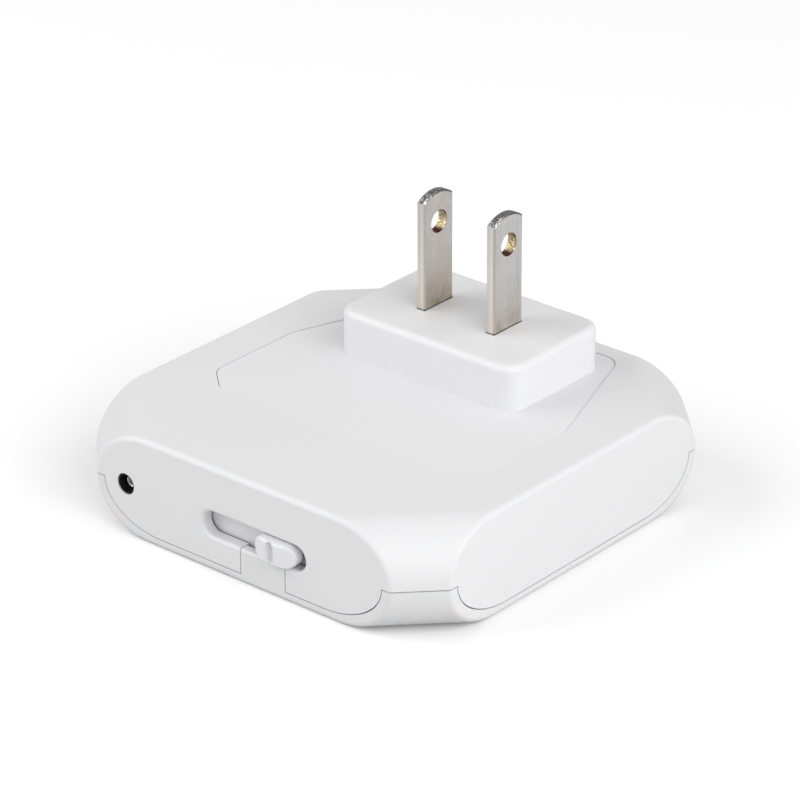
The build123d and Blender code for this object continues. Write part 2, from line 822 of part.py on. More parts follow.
def light_sensor():
    """Clear body with a narrower domed neck that reaches into the sleeve's front bore."""
    r = sensor_d / 2
    neck = sleeve_front_bore / 2 - sensor_neck_gap
    start = sleeve_front_part + sleeve_clearance
    neck_end = start - sensor_neck_length
    tip = neck_end - sensor_dome_rise
    body_end = sleeve_length + sleeve_clearance
    radius = (neck ** 2 + sensor_dome_rise ** 2) / (2 * sensor_dome_rise)
    turn = math.asin(neck / radius) / 2
    middle = (radius * math.sin(turn), tip + radius * (1 - math.cos(turn)))
    profile = make_face(
        Polyline((0, tip), (0, body_end), (r, body_end), (r, start), (neck, start), (neck, neck_end))
        + ThreePointArc((neck, neck_end), middle, (0, tip))
    )
    lens = revolve(Plane.XZ * profile, Axis.Z)
    return Pos(sensor_x, -half + sleeve_front_step, sensor_z) * Rot(-90, 0, 0) * lens


PARTS = {
    "rear_housing": rear_housing(),
    "front_diffuser": front_diffuser(),
    "plug_base": plug_base(),
    "blade_retainer": blade_retainer(),
    "retainer_screws": [screw(p, retainer_screw, retainer_bottom) for p in retainer_screw_places],
    "plug_base_screws": [screw(p, base_screw, ceiling) for p in base_screw_places],
    "board_screws": [screw(p, board_screw, board_bottom) for p in post_places],
    "main_board": main_board(),
    "leds": at_leds(led_body()),
    "led_windows": at_leds(led_window()),
    "blade_solder": blade_solder(),
    "film_capacitor": film_capacitor(),
    "smoothing_capacitor": smoothing_capacitor(),
    "fusible_resistor": fusible_resistor(),
    "bleed_resistor": bleed_resistor(),
    "component_leads": [bent_lead(*lead) for lead in lead_plan()],
    "bridge_rectifier": package(bridge_size, bridge_place, component_gap),
    "driver_chip": package(driver_size, driver_place, component_gap),
    "switch_transistor": package(transistor_size, transistor_place, component_gap),
    "package_legs": package_legs(),
    "chip_resistors": chip_resistors(),
    "dimmer_shell": dimmer_shell(),
    "dimmer_base": dimmer_base(),
    "dimmer_terminals": dimmer_terminals(),
    "dimmer_carriage": dimmer_carriage(),
    "slider_knob": slider_knob(),
    "sensor_sleeve": sensor_sleeve(),
    "light_sensor": light_sensor(),
    "sensor_legs": [bent_lead(*leg) for leg in sensor_leg_plan()],
}
for blade_name, blade_x in blade_places.items():
    PARTS[blade_name] = blade(blade_x)

for node, shape in PARTS.items():
    export_step(Compound(shape) if isinstance(shape, list) else shape, f"parts/{node}.step")
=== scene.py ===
import json
import math

import bmesh
import bpy
from bpy.props import FloatProperty, FloatVectorProperty, IntProperty, PointerProperty
from mathutils import Matrix, Vector


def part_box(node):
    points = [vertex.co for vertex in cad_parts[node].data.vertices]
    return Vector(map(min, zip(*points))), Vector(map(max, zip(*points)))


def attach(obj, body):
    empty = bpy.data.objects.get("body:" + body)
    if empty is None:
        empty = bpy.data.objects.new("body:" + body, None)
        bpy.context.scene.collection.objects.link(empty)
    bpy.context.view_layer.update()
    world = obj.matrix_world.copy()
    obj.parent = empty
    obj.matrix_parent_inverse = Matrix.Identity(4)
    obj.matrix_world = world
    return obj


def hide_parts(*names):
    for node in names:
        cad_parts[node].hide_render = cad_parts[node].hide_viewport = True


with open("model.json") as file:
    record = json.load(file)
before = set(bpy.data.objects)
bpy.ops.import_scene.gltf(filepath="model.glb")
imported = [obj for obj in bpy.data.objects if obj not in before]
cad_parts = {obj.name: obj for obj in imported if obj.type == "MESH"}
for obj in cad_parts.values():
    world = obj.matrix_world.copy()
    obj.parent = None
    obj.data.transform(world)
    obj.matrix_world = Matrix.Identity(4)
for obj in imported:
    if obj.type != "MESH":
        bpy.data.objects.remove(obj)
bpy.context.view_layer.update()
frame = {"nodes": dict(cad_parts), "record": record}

bl_info = {
    "name": "Night light finish",
    "version": (1, 0, 0),
    "blender": (4, 5, 0),
    "location": "3D View > Sidebar > Night light",
    "description": "Finishes, small parts and stage of a plug in night light with a dimmer slider",
    "category": "Object",
}

MM = 0.001
SAME = 0.001 * MM   # heights nearer than this count as one

# Places read from the frame, in metres.
BLADE_LOW, BLADE_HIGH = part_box("blade_left")
BASE_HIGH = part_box("plug_base")[1]
BOARD_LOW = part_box("main_board")[0]
SENSOR_LOW, SENSOR_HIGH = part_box("light_sensor")
BLADE_HOLE = next(m for m in frame["record"]["mounts"] if m["name"] == "blade_left_hole")
BLADE_THICK = BLADE_HIGH.x - BLADE_LOW.x

# Colours that several finishes share.
# Worn plating for the streaks on the blades, and painted shade for the dark lines along their narrow
# sides.
WORN_PLATING_AND_EDGE_SHADE = (0.42, 0.40, 0.38)
BAND_BLACK = (0.02, 0.02, 0.02)


# ---------------------------------------------------------------- settings


class ShellSettings(bpy.types.PropertyGroup):
    """Moulded white plastic of the housing, plug base, slider and cover."""

    colour: FloatVectorProperty(
        name="Plastic colour", description="Colour of the white mouldings", subtype="COLOR",
        default=(0.715, 0.715, 0.724), min=0, max=1,
    )
    cover_colour: FloatVectorProperty(
        name="Cover colour", description="Colour of the milky front cover", subtype="COLOR",
        default=(0.705, 0.705, 0.708), min=0, max=1,
    )
    grain: FloatProperty(
        name="Grain size", description="Size of the mould's fine texture", unit="LENGTH",
        default=0.16 * MM, min=0.02 * MM, max=2 * MM, precision=5,
    )
    grain_depth: FloatProperty(
        name="Grain depth", description="Height of the mould's fine texture", unit="LENGTH",
        default=0.004 * MM, min=0, max=0.1 * MM, precision=6,
    )
    slot_centre: FloatVectorProperty(
        name="Slot centre", description="Middle of the slider's slot at the wall's inner edge",
        subtype="XYZ", unit="LENGTH", default=(2.5 * MM, -30.5 * MM, 7.2 * MM), precision=5,
    )
    slot_half: FloatVectorProperty(
        name="Slot half sizes", description="Half of the slot's length and height",
        subtype="XYZ", size=2, unit="LENGTH", default=(9.35 * MM, 1.9 * MM), precision=5,
    )


class BladeSettings(bpy.types.PropertyGroup):
    """Nickel plated brass of the two plug blades."""

    nickel: FloatVectorProperty(
        name="Nickel", description="Colour of the plating", subtype="COLOR",
        default=(0.74, 0.705, 0.665), min=0, max=1,
    )
    narrow_foot: FloatVectorProperty(
        name="Narrow sides at the foot", description="Colour of the plating there, a little warmer",
        subtype="COLOR", default=(0.75, 0.67, 0.575), min=0, max=1,
    )
    brass: FloatVectorProperty(
        name="Brass", description="Colour of the bare metal in the holes", subtype="COLOR",
        default=(0.55, 0.45, 0.27), min=0, max=1,
    )
    tarnish_height: FloatProperty(
        name="Tarnish height", description="How far the dull film reaches up from the plug face",
        unit="LENGTH", default=9 * MM, min=0, max=20 * MM,
    )


class SensorSettings(bpy.types.PropertyGroup):
    """Light sensor behind the round hole."""

    sleeve: FloatVectorProperty(
        name="Sleeve colour", description="Colour of the rubber sleeve round the sensor",
        subtype="COLOR", default=(0.005, 0.005, 0.0055), min=0, max=1,
    )


class LampSettings(bpy.types.PropertyGroup):
    """Phosphor windows of the light emitting diodes."""

    count: IntProperty(
        name="Lamps", description="How many lamps stand on the ring", default=8, min=1, max=64,
    )
    window: FloatProperty(
        name="Window radius", description="Radius of one phosphor window", unit="LENGTH",
        default=1.1 * MM, min=0.2 * MM, max=3 * MM, precision=5,
    )


class ScrewSettings(bpy.types.PropertyGroup):
    """Self tapping screws inside the housing."""

    pitch: FloatProperty(
        name="Thread pitch", description="Distance between two turns of the thread", unit="LENGTH",
        default=0.8 * MM, min=0.3 * MM, max=2 * MM, precision=5,
    )
    depth: FloatProperty(
        name="Thread depth", description="Height of the thread over the core", unit="LENGTH",
        default=0.28 * MM, min=0.05 * MM, max=0.8 * MM, precision=5,
    )


class StageSettings(bpy.types.PropertyGroup):
    """Floor, light and camera."""

    floor_reach: FloatProperty(
        name="Floor reach", description="How far the floor reaches from the middle to each side",
        unit="LENGTH", default=4, min=0.5, max=20,
    )
    floor: FloatVectorProperty(
        name="Floor colour", description="Colour of the plain floor", subtype="COLOR",
        default=(0.98, 0.98, 0.98), min=0, max=1,
    )
    bounce: FloatVectorProperty(
        name="Floor bounce", description="Colour of the light that the floor throws back",
        subtype="COLOR", default=(0.62, 0.62, 0.62), min=0, max=1,
    )
    surround: FloatProperty(
        name="Surround", description="Brightness of the white surround", default=0.44, min=0, max=5,
    )
    key: FloatProperty(
        name="Key light", description="Power of the large light on the right", subtype="POWER",
        default=6.45, min=0, max=500,
    )
    fill: FloatProperty(
        name="Fill light", description="Power of the large light on the left", subtype="POWER",
        default=5.9, min=0, max=500,
    )
    rear_right: FloatProperty(
        name="Rear light, right", description="Power of the soft light behind on the right",
        subtype="POWER", default=2.1, min=0, max=500,
    )
    rear_left: FloatProperty(
        name="Rear light, left", description="Power of the soft light behind on the left",
        subtype="POWER", default=0.6, min=0, max=500,
    )
    light_size: FloatProperty(
        name="Light size", description="Width of each round light", unit="LENGTH",
        default=1, min=0.01, max=5,
    )
    light_reach: FloatProperty(
        name="Light distance", description="How far each light stands from the middle", unit="LENGTH",
        default=0.95, min=0.1, max=10,
    )
    light_height: FloatProperty(
        name="Light elevation", description="Height angle of each light", subtype="ANGLE",
        default=math.radians(30),
    )
    lens: FloatProperty(
        name="Lens", description="Focal length of the camera in millimetres",
        default=178.2, min=20, max=500,
    )
    azimuth: FloatProperty(
        name="Camera azimuth", description="Turn of the camera about the upright axis", subtype="ANGLE",
        default=math.radians(40.64),
    )
    elevation: FloatProperty(
        name="Camera elevation", description="Height angle of the camera", subtype="ANGLE",
        default=math.radians(26.25),
    )
    roll: FloatProperty(
        name="Camera roll", description="Tilt of the camera about its own axis", subtype="ANGLE",
        default=math.radians(-0.3),
    )
    place: FloatVectorProperty(
        name="Camera place", description="Where the camera stands", subtype="XYZ", unit="LENGTH",
        default=(324.12 * MM, -376.60 * MM, 260.43 * MM), precision=5,
    )


# ---------------------------------------------------------------- material tools


def new_material(name, colour, roughness, **sockets):
    """A Principled material with its node tree and its shader."""
    material = bpy.data.materials.new(name)
    material.use_nodes = True
    tree = material.node_tree
    shader = tree.nodes["Principled BSDF"]
    shader.inputs["Base Color"].default_value = (*colour, 1)
    shader.inputs["Roughness"].default_value = roughness
    for socket, value in sockets.items():
        shader.inputs[socket.replace("_", " ")].default_value = value
    return material, tree, shader


def add(tree, kind, inputs=None, **settings):
    """One node, with its settings and its input values or links."""
    node = tree.nodes.new(kind)
    for name, value in settings.items():
        setattr(node, name, value)
    for name, value in (inputs or {}).items():
        if isinstance(value, bpy.types.NodeSocket):
            tree.links.new(value, node.inputs[name])
        else:
            node.inputs[name].default_value = value
    return node


def place_of(tree):
    """Place on the piece: the frame's own coordinates, because every piece sits at the origin."""
    return add(tree, "ShaderNodeTexCoord").outputs["Object"]


def noise(tree, size, detail, place=None, roughness=0.5):
    """Noise whose features are about size metres wide."""
    place = place or place_of(tree)
    inputs = {"Vector": place, "Scale": 1 / size, "Detail": detail, "Roughness": roughness}
    return add(tree, "ShaderNodeTexNoise", inputs).outputs["Fac"]


def spread(tree, value, low, high, source=(0.3, 0.7)):
    """A value that runs from low to high over the source span and holds still past its ends.

    The usual span is the one that noise mostly keeps to.
    """
    inputs = {"Value": value, "From Min": source[0], "From Max": source[1], "To Min": low, "To Max": high}
    return add(tree, "ShaderNodeMapRange", inputs).outputs["Result"]


def maths(tree, operation, first, second=0.0):
    """One sum on numbers or sockets."""
    return add(tree, "ShaderNodeMath", {0: first, 1: second}, operation=operation).outputs[0]


def times(tree, first, *others):
    """The product of all values."""
    for other in others:
        first = maths(tree, "MULTIPLY", first, other)
    return first


def off_from(tree, value, middle):
    """How far a value is from the middle, on either side."""
    return maths(tree, "ABSOLUTE", maths(tree, "SUBTRACT", value, middle))


def vector_maths(tree, operation, first, second):
    """One sum on two vectors."""
    return add(tree, "ShaderNodeVectorMath", {0: first, 1: second}, operation=operation).outputs[0]


def parts_of(tree, vector):
    """The X, Y and Z of a vector, by name."""
    return add(tree, "ShaderNodeSeparateXYZ", {0: vector}).outputs


def mix(tree, factor, first, second):
    """Two colours mixed; each is a tuple or a socket."""
    node = add(tree, "ShaderNodeMix", data_type="RGBA")
    for index, value in ((0, factor), (6, first), (7, second)):
        if isinstance(value, bpy.types.NodeSocket):
            tree.links.new(value, node.inputs[index])
        elif index:
            node.inputs[index].default_value = (*value, 1)
        else:
            node.inputs[index].default_value = value
    return node.outputs[2]


def bump(tree, shader, height, distance):
    """Relief: a height of one stands out by distance metres."""
    relief = add(tree, "ShaderNodeBump", {"Height": height, "Distance": distance, "Strength": 1.0})
    tree.links.new(relief.outputs["Normal"], shader.inputs["Normal"])


def tinted(colour, gain):
    """A colour made lighter or darker by gain, and kept under full white."""
    return tuple(min(1.0, c * gain) for c in colour)


def give(piece, material):
    """Makes the material the only one of a piece."""
    piece.data.materials.clear()
    piece.data.materials.append(material)


def dress(name, material):
    """A carried over CAD node gets its finish."""
    give(frame["nodes"][name], material)


# ---------------------------------------------------------------- materials


def moulded_plastic(name, colour, settings, roughness=(0.40, 0.47), **sockets):
    """Satin moulding: a fine spark eroded grain, faint flow marks and a slight change of tone."""
    material, tree, shader = new_material(name, colour, roughness[0], **sockets)
    tone = noise(tree, 24 * MM, 3)
    colour_link = mix(tree, tone, tinted(colour, 0.985), tinted(colour, 1.012))
    tree.links.new(colour_link, shader.inputs["Base Color"])
    gloss = spread(tree, noise(tree, 2.2 * MM, 4), *roughness)
    tree.links.new(gloss, shader.inputs["Roughness"])
    bump(tree, shader, noise(tree, settings.grain, 3, roughness=0.6), settings.grain_depth)
    return material


def slot_gap_shade(tree, shader, settings):
    """Painted shade: a fine dark line along the inner edge of the slider's slot, where the gap to the
    shutter lies.
    """
    centre, half = settings.slot_centre, settings.slot_half
    full, faint = 0.04 * MM, 0.06 * MM
    spot = parts_of(tree, place_of(tree))
    gap_shade = times(
        tree,
        spread(tree, spot["Y"], 0, 1, (centre[1] - 0.2 * MM, centre[1] - 0.1 * MM)),
        spread(tree, spot["Y"], 1, 0, (centre[1] + full, centre[1] + faint)),
        spread(tree, off_from(tree, spot["X"], centre[0]), 1, 0, (half[0] + full, half[0] + faint)),
        spread(tree, off_from(tree, spot["Z"], centre[2]), 1, 0, (half[1] + full, half[1] + faint)),
    )
    unshaded = shader.inputs["Base Color"].links[0].from_socket
    # The dark colour is painted shade in the gap between the wall and the shutter.
    tree.links.new(mix(tree, gap_shade, unshaded, (0.09, 0.085, 0.075)), shader.inputs["Base Color"])


def plain_finish(name, colour, roughness, size, depth, **sockets):
    """A small part's finish: colour and gloss vary a little over a grain of this size and depth."""
    material, tree, shader = new_material(name, colour, roughness, **sockets)
    speck = noise(tree, size, 3)
    speckled = mix(tree, speck, tinted(colour, 0.88), tinted(colour, 1.1))
    tree.links.new(speckled, shader.inputs["Base Color"])
    gloss = spread(tree, noise(tree, size * 3, 2), roughness * 0.85, min(1.0, roughness * 1.15))
    tree.links.new(gloss, shader.inputs["Roughness"])
    bump(tree, shader, speck, depth)
    return material


def ring_distance(tree, place, centre):
    """Distance from a line along X through centre."""
    flat = vector_maths(tree, "MULTIPLY", vector_maths(tree, "SUBTRACT", place, centre), (0, 1, 1))
    return add(tree, "ShaderNodeVectorMath", {0: flat}, operation="LENGTH").outputs["Value"]


def blade_metal(settings, film):
    """Nickel plate with a dull film at the foot, a sheared tip and a bare brass hole."""
    name = "nickel_plate_painted_light_" + film["name"]
    material, tree, shader = new_material(name, settings.nickel, 0.3, Metallic=1.0)
    place = place_of(tree)
    spot = parts_of(tree, place)
    facing = parts_of(tree, add(tree, "ShaderNodeNewGeometry").outputs["Normal"])
    tear_and_glint = noise(tree, 0.3 * MM, 4, roughness=0.7)
    drawn = vector_maths(tree, "MULTIPLY", place, (1, 1, 0.04))
    streak = noise(tree, 0.45 * MM, 3, drawn)

    plated, dull = plating_wear_and_painted_light(tree, settings, film, spot, facing, streak)
    up = spread(tree, facing["Z"], 0, 1, (0.25, 0.45))
    near_tip = spread(tree, spot["Z"], 0, 1, (BLADE_HIGH.z - 1.7 * MM, BLADE_HIGH.z - 1.5 * MM))
    sheared = times(tree, up, near_tip)
    bore = BLADE_HOLE["dims"]["r_mm"] * MM
    radius = ring_distance(tree, place, BLADE_HOLE["pos_m"])
    bare = spread(tree, radius, 1, 0, (bore + 0.03 * MM, bore + 0.06 * MM))
    colour = mix(tree, sheared, plated, torn_metal_and_glints(tree, spot, tear_and_glint))
    colour = mix(tree, bare, colour, bare_brass(tree, settings, film, spot))
    tree.links.new(colour, shader.inputs["Base Color"])

    rough = spread(tree, noise(tree, 0.25 * MM, 3), 0.26, 0.36)
    for where, more in ((dull, 0.16), (sheared, 0.12), (bare, 0.2)):
        rough = maths(tree, "ADD", rough, times(tree, where, more))
    tree.links.new(rough, shader.inputs["Roughness"])
    rip = times(tree, maths(tree, "ADD", sheared, times(tree, bare, 0.5)), tear_and_glint)
    bump(tree, shader, maths(tree, "ADD", times(tree, streak, 0.06), rip), 0.05 * MM)
    return material


def plating_wear_and_painted_light(tree, settings, film, spot, facing, streak):
    """Colour of the plating, and how dull it is. The narrow sides stay bright down to the foot."""
    foot = BASE_HIGH.z
    cloud = noise(tree, 1.6 * MM, 5, roughness=0.65)
    broad = spread(tree, maths(tree, "ABSOLUTE", facing["X"]), 0, 1, (0.8, 0.95))
    rise = spread(tree, spot["Z"], 1, 0, (foot, foot + settings.tarnish_height))
    cover = spread(tree, cloud, film["low"], film["high"], (0.35, 0.65))
    dull = times(tree, rise, cover, spread(tree, broad, 0.06, 1, (0, 1)))
    clouded = spread(tree, cloud, 0, 1, (0.42, 0.6))
    # Painted shade and reflection: the broad faces are darkened in clouds and lightened again by the
    # sheen, set for each blade.
    face = mix(tree, clouded, tinted(settings.nickel, film["dark"]), settings.nickel)
    face = mix(tree, film["broad"], face, film["broad_sheen"])

    # Dark lines along the narrow sides: at the near corner, at the far edge and between them. They are
    # painted shade in place of rounded edges.
    # The upper narrow sides are painted a little lighter than the plating: painted reflection.
    narrow = mix(tree, rise, tinted(settings.nickel, 1.03), settings.narrow_foot)
    near, far = film["face"], film["face"] - BLADE_THICK
    between = off_from(tree, spot["X"], far + 0.62 * MM)
    for line in (
        spread(tree, spot["X"], 0, 0.7, (near - 0.28 * MM, near - 0.16 * MM)),
        spread(tree, spot["X"], 0.6, 0, (far + 0.2 * MM, far + 0.45 * MM)),
        spread(tree, between, 0.3, 0, (0.05 * MM, 0.14 * MM)),
    ):
        narrow = mix(tree, line, narrow, WORN_PLATING_AND_EDGE_SHADE)

    plated = mix(tree, broad, narrow, face)
    plated = mix(tree, spread(tree, streak, 0, film["streak"], (0.5, 0.7)), plated, WORN_PLATING_AND_EDGE_SHADE)
    plated = mix(tree, dull, plated, film["tarnish"])
    # Painted shadow: a dark line along the blade's foot, where it meets the plug face.
    foot_shadow = spread(tree, spot["Z"], 0.85, 0, (foot + 0.08 * MM, foot + 0.24 * MM))
    return mix(tree, foot_shadow, plated, (0.06, 0.045, 0.03)), dull


def torn_metal_and_glints(tree, spot, tear_and_glint):
    """Colour of the sheared tip: dark, with bright spots towards its front end that are painted glints."""
    front_end = spread(tree, spot["Y"], 1, 0, (BLADE_LOW.y + 2.6 * MM, BLADE_LOW.y + 3.4 * MM))
    # Painted glints: near white spots on the front end of the tip.
    glint = times(tree, spread(tree, tear_and_glint, 0, 1, (0.5, 0.6)), front_end)
    tear = mix(tree, spread(tree, tear_and_glint, 0, 1, (0.4, 0.66)), (0.10, 0.10, 0.105), (0.36, 0.355, 0.35))
    return mix(tree, glint, tear, (0.85, 0.84, 0.82))


def bare_brass(tree, settings, film, spot):
    """Colour of the punched hole: crusted brass with painted glints, dark at its bottom and along its
    upper rim.
    """
    middle, face = BLADE_HOLE["pos_m"][2], film["face"]
    crust_and_glint = noise(tree, 0.38 * MM, 5, roughness=0.75)
    brassy = mix(tree, spread(tree, crust_and_glint, 0, 1, (0.40, 0.52)), (0.22, 0.13, 0.05), settings.brass)
    # Near white spots are painted glints.
    brassy = mix(tree, spread(tree, crust_and_glint, 0, 1, (0.54, 0.60)), brassy, (0.95, 0.92, 0.82))
    upper = spread(tree, spot["Z"], 0, 0.7, (middle + 0.5 * MM, middle + 1.3 * MM))
    brassy = mix(tree, upper, brassy, (0.42, 0.36, 0.31))
    rim = times(
        tree,
        spread(tree, spot["X"], 0, 1, (face - 0.32 * MM, face - 0.22 * MM)),
        spread(tree, spot["Z"], 0, 0.9, (middle + 0.3 * MM, middle + 0.7 * MM)),
    )
    brassy = mix(tree, rim, brassy, (0.08, 0.05, 0.045))
    sunk = spread(tree, spot["Z"], 1, 0, (middle - 1.62 * MM, middle - 1.36 * MM))
    return mix(tree, sunk, brassy, (0.10, 0.035, 0.025))


def clear_epoxy():
    """Water clear casting resin with a faint flow."""
    material, tree, shader = new_material("clear_epoxy", (0.97, 0.98, 0.99), 0.03, IOR=1.53)
    shader.inputs["Transmission Weight"].default_value = 1.0
    bump(tree, shader, noise(tree, 0.8 * MM, 2), 0.004 * MM)
    return material


def board_laminate():
    """White solder mask with the weave of the glass cloth showing through and faint tracks."""
    colour = (0.80, 0.82, 0.79)
    material, tree, shader = new_material("solder_mask", colour, 0.32)
    place = place_of(tree)
    turned = add(tree, "ShaderNodeMapping", {"Vector": place, "Rotation": (0, 0, math.pi / 4)}).outputs[0]
    weave = add(tree, "ShaderNodeTexWave", {"Vector": turned, "Scale": 1 / (1.2 * MM), "Distortion": 0.5})
    tracks = add(tree, "ShaderNodeTexVoronoi", {"Vector": place, "Scale": 1 / (6 * MM)},
                 feature="DISTANCE_TO_EDGE").outputs["Distance"]
    track = spread(tree, tracks, 1, 0, (0.05, 0.07))
    base = mix(tree, weave.outputs["Fac"], tinted(colour, 0.97), colour)
    tree.links.new(mix(tree, track, base, (0.62, 0.68, 0.60)), shader.inputs["Base Color"])
    bump(tree, shader, track, 0.03 * MM)
    return material


def banded_coat(name, colour, axis, ends, bands):
    """Resistor lacquer with three painted bands square to its axis, from one end of the body."""
    material, tree, shader = new_material(name, colour, 0.38)
    along = spread(tree, parts_of(tree, place_of(tree))[axis], 0, 1, ends)
    result = mix(tree, noise(tree, 0.5 * MM, 3), tinted(colour, 0.92), tinted(colour, 1.06))
    # The bands' places and their half width are shares of the body's length.
    for middle, band in zip((0.22, 0.38, 0.54), bands):
        painted = spread(tree, off_from(tree, along, middle), 1, 0, (0.045, 0.055))
        result = mix(tree, painted, result, band)
    tree.links.new(result, shader.inputs["Base Color"])
    bump(tree, shader, noise(tree, 0.4 * MM, 3), 0.01 * MM)
    return material


# ---------------------------------------------------------------- mesh tools


def blank_from(name, mesh_maker):
    """An object in the frame's place, with the mesh that mesh_maker builds."""
    builder = bmesh.new()
    mesh_maker(builder)
    mesh = bpy.data.meshes.new(name)
    builder.to_mesh(mesh)
    builder.free()
    piece = bpy.data.objects.new(name, mesh)
    bpy.context.scene.collection.objects.link(piece)
    return piece


def settle(piece, material, replaces=()):
    """A finished piece gets its finish and the body it rides on, and the CAD nodes it stands for are
    hidden.
    """
    give(piece, material)
    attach(piece, "light")
    if replaces:
        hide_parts(*replaces)


def lathe(builder, profile, steps, axis_point, axis=(0, 0, 1)):
    """A closed solid turned from (radius, height) pairs, with only its two ends on the axis."""
    axis = Vector(axis)
    across = axis.orthogonal().normalized()
    other = axis.cross(across)
    rings = []
    for radius, height in profile:
        centre = Vector(axis_point) + axis * height
        if radius == 0:
            rings.append([builder.verts.new(centre)])
            continue
        ring = []
        for i in range(steps):
            turn = 2 * math.pi * i / steps
            outwards = across * math.cos(turn) + other * math.sin(turn)
            ring.append(builder.verts.new(centre + outwards * radius))
        rings.append(ring)
    for low, high in zip(rings, rings[1:]):
        for i in range(steps):
            j = (i + 1) % steps
            corners = [low[i % len(low)], low[j % len(low)], high[j % len(high)], high[i % len(high)]]
            builder.faces.new(list(dict.fromkeys(corners)))
    bmesh.ops.recalc_face_normals(builder, faces=builder.faces)


def shade(piece, angle=35):
    """Smooth shading with the edges over angle degrees kept sharp."""
    mesh = piece.data
    mesh.polygons.foreach_set("use_smooth", [True] * len(mesh.polygons))
    builder = bmesh.new()
    builder.from_mesh(mesh)
    for edge in builder.edges:
        edge.smooth = edge.calc_face_angle(0) <= math.radians(angle)
    builder.to_mesh(mesh)
    builder.free()


# ---------------------------------------------------------------- geometry node trees


class Tree:
    """A Geometry Nodes tree under construction, with named inputs."""

    def __init__(self, name):
        self.group = bpy.data.node_groups.new(name, "GeometryNodeTree")
        self.group.interface.new_socket("Geometry", in_out="INPUT", socket_type="NodeSocketGeometry")
        self.group.interface.new_socket("Geometry", in_out="OUTPUT", socket_type="NodeSocketGeometry")
        self.start = self.group.nodes.new("NodeGroupInput")
        self.end = self.group.nodes.new("NodeGroupOutput")

    def input(self, name, kind, default=None):
        """A named input of the tree, as the socket that feeds its nodes."""
        socket = self.group.interface.new_socket(name, in_out="INPUT", socket_type="NodeSocket" + kind)
        if default is not None:
            socket.default_value = default
        return self.start.outputs[name]

    def node(self, kind, inputs=None, **settings):
        """One node of this tree."""
        return add(self.group, kind, inputs, **settings)

    def close(self, geometry, material):
        """Every tree ends in Realize Instances and Set Material."""
        real = self.node("GeometryNodeRealizeInstances", {"Geometry": geometry}).outputs[0]
        painted = self.node("GeometryNodeSetMaterial", {"Geometry": real, "Material": material}).outputs[0]
        self.group.links.new(painted, self.end.inputs[0])
        return self.group


def run_tree(piece, group, values):
    """Runs the tree on a piece with the given inputs and keeps the result as a plain mesh."""
    modifier = piece.modifiers.new(group.name, "NODES")
    modifier.node_group = group
    sockets = {s.name: s.identifier for s in group.interface.items_tree if s.in_out == "INPUT"}
    for name, value in values.items():
        modifier[sockets[name]] = value
    graph = bpy.context.evaluated_depsgraph_get()
    mesh = bpy.data.meshes.new_from_object(piece.evaluated_get(graph))
    piece.modifiers.remove(modifier)
    piece.data = mesh
    mesh.name = piece.name


def screw_tree():
    """Puts threaded copies of a blank screw on a grid."""
    tree = Tree("threaded_screws")
    across = tree.input("Across", "Float", 0.02)
    along = tree.input("Along", "Float", 0.02)
    count_x = tree.input("Count across", "Int", 2)
    count_y = tree.input("Count along", "Int", 2)
    centre = tree.input("Centre", "Vector")
    radius = tree.input("Core radius", "Float", 0.001)
    depth = tree.input("Thread depth", "Float", 0.0003)
    pitch = tree.input("Thread pitch", "Float", 0.0008)
    length = tree.input("Thread length", "Float", 0.005)
    material = tree.input("Finish", "Material")

    turns = tree.node("ShaderNodeMath", {0: length, 1: pitch}, operation="DIVIDE").outputs[0]
    helix = tree.node("GeometryNodeCurveSpiral", {
        "Resolution": 20, "Rotations": turns, "Height": length,
        "Start Radius": radius, "End Radius": radius,
    }).outputs[0]
    profile = tree.node("GeometryNodeCurvePrimitiveCircle", {"Resolution": 3, "Radius": depth}).outputs[0]
    thread = tree.node("GeometryNodeCurveToMesh", {
        "Curve": helix, "Profile Curve": profile, "Fill Caps": True,
    })
    # The thread starts one turn above the seat.
    lifted = tree.node("GeometryNodeTransform", {
        "Geometry": thread.outputs[0],
        "Translation": tree.node("ShaderNodeCombineXYZ", {"Z": pitch}).outputs[0],
    }).outputs[0]
    whole = tree.node("GeometryNodeJoinGeometry")
    for part in (lifted, tree.start.outputs["Geometry"]):
        tree.group.links.new(part, whole.inputs[0])
    grid = tree.node("GeometryNodeMeshGrid", {
        "Size X": across, "Size Y": along, "Vertices X": count_x, "Vertices Y": count_y,
    }).outputs[0]
    placed = tree.node("GeometryNodeTransform", {"Geometry": grid, "Translation": centre}).outputs[0]
    copies = tree.node("GeometryNodeInstanceOnPoints", {"Points": placed, "Instance": whole.outputs[0]})
    return tree.close(copies.outputs[0], material)


def ring_tree():
    """Puts copies of a piece round a circle, each turned to face outwards."""
    tree = Tree("pieces_on_a_ring")
    count = tree.input("Count", "Int", 8)
    radius = tree.input("Ring radius", "Float", 0.018)
    height = tree.input("Height", "Float", 0.0)
    material = tree.input("Finish", "Material")
    ring = tree.node("GeometryNodeMeshCircle", {"Vertices": count, "Radius": radius}).outputs[0]
    lift = tree.node("ShaderNodeCombineXYZ", {"Z": height}).outputs[0]
    raised = tree.node("GeometryNodeTransform", {"Geometry": ring, "Translation": lift}).outputs[0]
    index = tree.node("GeometryNodeInputIndex").outputs[0]
    step = tree.node("ShaderNodeMath", {0: 2 * math.pi, 1: count}, operation="DIVIDE").outputs[0]
    turn = tree.node("ShaderNodeMath", {0: index, 1: step}, operation="MULTIPLY").outputs[0]
    rotation = tree.node("ShaderNodeCombineXYZ", {"Z": turn}).outputs[0]
    copies = tree.node("GeometryNodeInstanceOnPoints", {
        "Points": raised, "Instance": tree.start.outputs["Geometry"], "Rotation": rotation,
    })
    return tree.close(copies.outputs[0], material)


